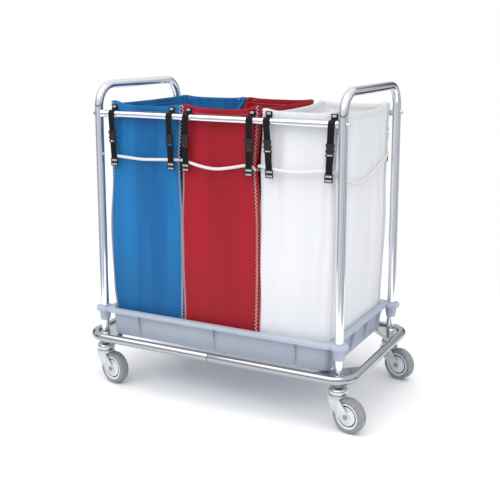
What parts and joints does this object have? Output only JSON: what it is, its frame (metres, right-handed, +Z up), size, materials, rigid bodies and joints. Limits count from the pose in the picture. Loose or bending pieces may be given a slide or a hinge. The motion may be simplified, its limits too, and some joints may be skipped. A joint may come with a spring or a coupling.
{
  "type": "laundry sorter on wheels",
  "caption": "Wheeled laundry sorter: chromed tube trolley with a handle at each end, open cloth bags clipped over rails by straps, drawn by cords, in a moulded tray on swivel casters.",
  "frame": {"origin": "on the floor, at the middle of the bounding box seen from above", "axes": "+Z up, +X along the long side towards the right-hand handle, +Y from the front towards the rear"},
  "size_m": [0.945, 0.545, 0.9577],
  "materials": {
    "chrome_tube": "polished",
    "chrome_cup": "polished, a little darker in the dish",
    "zinc_plate": "bright zinc plate, satin",
    "steel": "satin",
    "hub_plastic": "moulded, satin",
    "tyre_rubber": "matt solid rubber",
    "tray_plastic": "moulded polyethylene, fine texture",
    "blue_cloth": "coated woven nylon",
    "red_cloth": "coated woven nylon",
    "white_cloth": "coated woven nylon",
    "cord_cotton": "braided cotton",
    "black_webbing": "woven nylon webbing",
    "black_plastic": "moulded acetal"
  },
  "bodies": {
    "root": {"base_loop": "chrome_tube", "corner_plate_fl": "chrome_tube", "corner_plate_fr": "chrome_tube", "corner_plate_rl": "chrome_tube", "corner_plate_rr": "chrome_tube", "end_frame_left": "chrome_tube", "end_frame_right": "chrome_tube", "front_rail": "chrome_tube", "rear_rail": "chrome_tube", "tray": "tray_plastic", "bag_blue": "blue_cloth", "bag_red": "red_cloth", "bag_white": "white_cloth", "strap_front_blue_left": "black_webbing", "strap_front_blue_right": "black_webbing", "strap_rear_blue_left": "black_webbing", "strap_rear_blue_right": "black_webbing", "strap_front_red_left": "black_webbing", "strap_front_red_right": "black_webbing", "strap_rear_red_left": "black_webbing", "strap_rear_red_right": "black_webbing", "strap_front_white_left": "black_webbing", "strap_front_white_right": "black_webbing", "strap_rear_white_left": "black_webbing", "strap_rear_white_right": "black_webbing", "drawcord_blue": "cord_cotton", "drawcord_red": "cord_cotton", "drawcord_white": "cord_cotton", "caster_fl_head": "chrome_cup", "caster_fr_head": "chrome_cup", "caster_rl_head": "chrome_cup", "caster_rr_head": "chrome_cup"},
    "caster_fl_swivel": {"caster_fl_yoke": "zinc_plate", "caster_fl_axle": "steel"},
    "caster_fl_wheel": {"caster_fl_hub": "hub_plastic", "caster_fl_tyre": "tyre_rubber"},
    "caster_fr_swivel": {"caster_fr_yoke": "zinc_plate", "caster_fr_axle": "steel"},
    "caster_fr_wheel": {"caster_fr_hub": "hub_plastic", "caster_fr_tyre": "tyre_rubber"},
    "caster_rl_swivel": {"caster_rl_yoke": "zinc_plate", "caster_rl_axle": "steel"},
    "caster_rl_wheel": {"caster_rl_hub": "hub_plastic", "caster_rl_tyre": "tyre_rubber"},
    "caster_rr_swivel": {"caster_rr_yoke": "zinc_plate", "caster_rr_axle": "steel"},
    "caster_rr_wheel": {"caster_rr_hub": "hub_plastic", "caster_rr_tyre": "tyre_rubber"},
    "clip_front_blue_left": {"clip_front_blue_left": "black_plastic"},
    "clip_front_blue_right": {"clip_front_blue_right": "black_plastic"},
    "clip_rear_blue_left": {"clip_rear_blue_left": "black_plastic"},
    "clip_rear_blue_right": {"clip_rear_blue_right": "black_plastic"},
    "clip_front_red_left": {"clip_front_red_left": "black_plastic"},
    "clip_front_red_right": {"clip_front_red_right": "black_plastic"},
    "clip_rear_red_left": {"clip_rear_red_left": "black_plastic"},
    "clip_rear_red_right": {"clip_rear_red_right": "black_plastic"},
    "clip_front_white_left": {"clip_front_white_left": "black_plastic"},
    "clip_front_white_right": {"clip_front_white_right": "black_plastic"},
    "clip_rear_white_left": {"clip_rear_white_left": "black_plastic"},
    "clip_rear_white_right": {"clip_rear_white_right": "black_plastic"}
  },
  "joints": [
    {"name": "caster_fl_swivel", "type": "hinge", "parent": "root", "child": "caster_fl_swivel", "pos_m": [-0.41603, -0.225, 0.104], "axis": [0, 0, 1], "continuous": true},
    {"name": "caster_fl_roll", "type": "hinge", "parent": "caster_fl_swivel", "child": "caster_fl_wheel", "pos_m": [-0.37789, -0.23311, 0.04976], "axis": [-0.2079, -0.9781, 0], "continuous": true},
    {"name": "caster_fr_swivel", "type": "hinge", "parent": "root", "child": "caster_fr_swivel", "pos_m": [0.38397, -0.225, 0.104], "axis": [0, 0, 1], "continuous": true},
    {"name": "caster_fr_roll", "type": "hinge", "parent": "caster_fr_swivel", "child": "caster_fr_wheel", "pos_m": [0.42181, -0.23444, 0.04976], "axis": [-0.2419, -0.9703, 0], "continuous": true},
    {"name": "caster_rl_swivel", "type": "hinge", "parent": "root", "child": "caster_rl_swivel", "pos_m": [-0.41603, 0.225, 0.104], "axis": [0, 0, 1], "continuous": true},
    {"name": "caster_rl_roll", "type": "hinge", "parent": "caster_rl_swivel", "child": "caster_rl_wheel", "pos_m": [-0.37804, 0.21623, 0.04976], "axis": [-0.225, -0.9744, 0], "continuous": true},
    {"name": "caster_rr_swivel", "type": "hinge", "parent": "root", "child": "caster_rr_swivel", "pos_m": [0.38397, 0.225, 0.104], "axis": [0, 0, 1], "continuous": true},
    {"name": "caster_rr_roll", "type": "hinge", "parent": "caster_rr_swivel", "child": "caster_rr_wheel", "pos_m": [0.42145, 0.21425, 0.04976], "axis": [-0.2756, -0.9613, 0], "continuous": true},
    {"name": "release_front_blue_left", "type": "slide", "parent": "root", "child": "clip_front_blue_left", "axis": [0.0599, 0, -0.9982], "range_m": [0, 0.018]},
    {"name": "release_front_blue_right", "type": "slide", "parent": "root", "child": "clip_front_blue_right", "axis": [0.045, 0, -0.999], "range_m": [0, 0.018]},
    {"name": "release_rear_blue_left", "type": "slide", "parent": "root", "child": "clip_rear_blue_left", "axis": [0, 0, -1], "range_m": [0, 0.018]},
    {"name": "release_rear_blue_right", "type": "slide", "parent": "root", "child": "clip_rear_blue_right", "axis": [0, 0, -1], "range_m": [0, 0.018]},
    {"name": "release_front_red_left", "type": "slide", "parent": "root", "child": "clip_front_red_left", "axis": [0, 0, -1], "range_m": [0, 0.018]},
    {"name": "release_front_red_right", "type": "slide", "parent": "root", "child": "clip_front_red_right", "axis": [0, 0, -1], "range_m": [0, 0.018]},
    {"name": "release_rear_red_left", "type": "slide", "parent": "root", "child": "clip_rear_red_left", "axis": [0, 0, -1], "range_m": [0, 0.018]},
    {"name": "release_rear_red_right", "type": "slide", "parent": "root", "child": "clip_rear_red_right", "axis": [0, 0, -1], "range_m": [0, 0.018]},
    {"name": "release_front_white_left", "type": "slide", "parent": "root", "child": "clip_front_white_left", "axis": [0.0698, 0, -0.9976], "range_m": [0, 0.018]},
    {"name": "release_front_white_right", "type": "slide", "parent": "root", "child": "clip_front_white_right", "axis": [-0.035, 0, -0.9994], "range_m": [0, 0.018]},
    {"name": "release_rear_white_left", "type": "slide", "parent": "root", "child": "clip_rear_white_left", "axis": [0, 0, -1], "range_m": [0, 0.018]},
    {"name": "release_rear_white_right", "type": "slide", "parent": "root", "child": "clip_rear_white_right", "axis": [0, 0, -1], "range_m": [0, 0.018]}
  ]
}
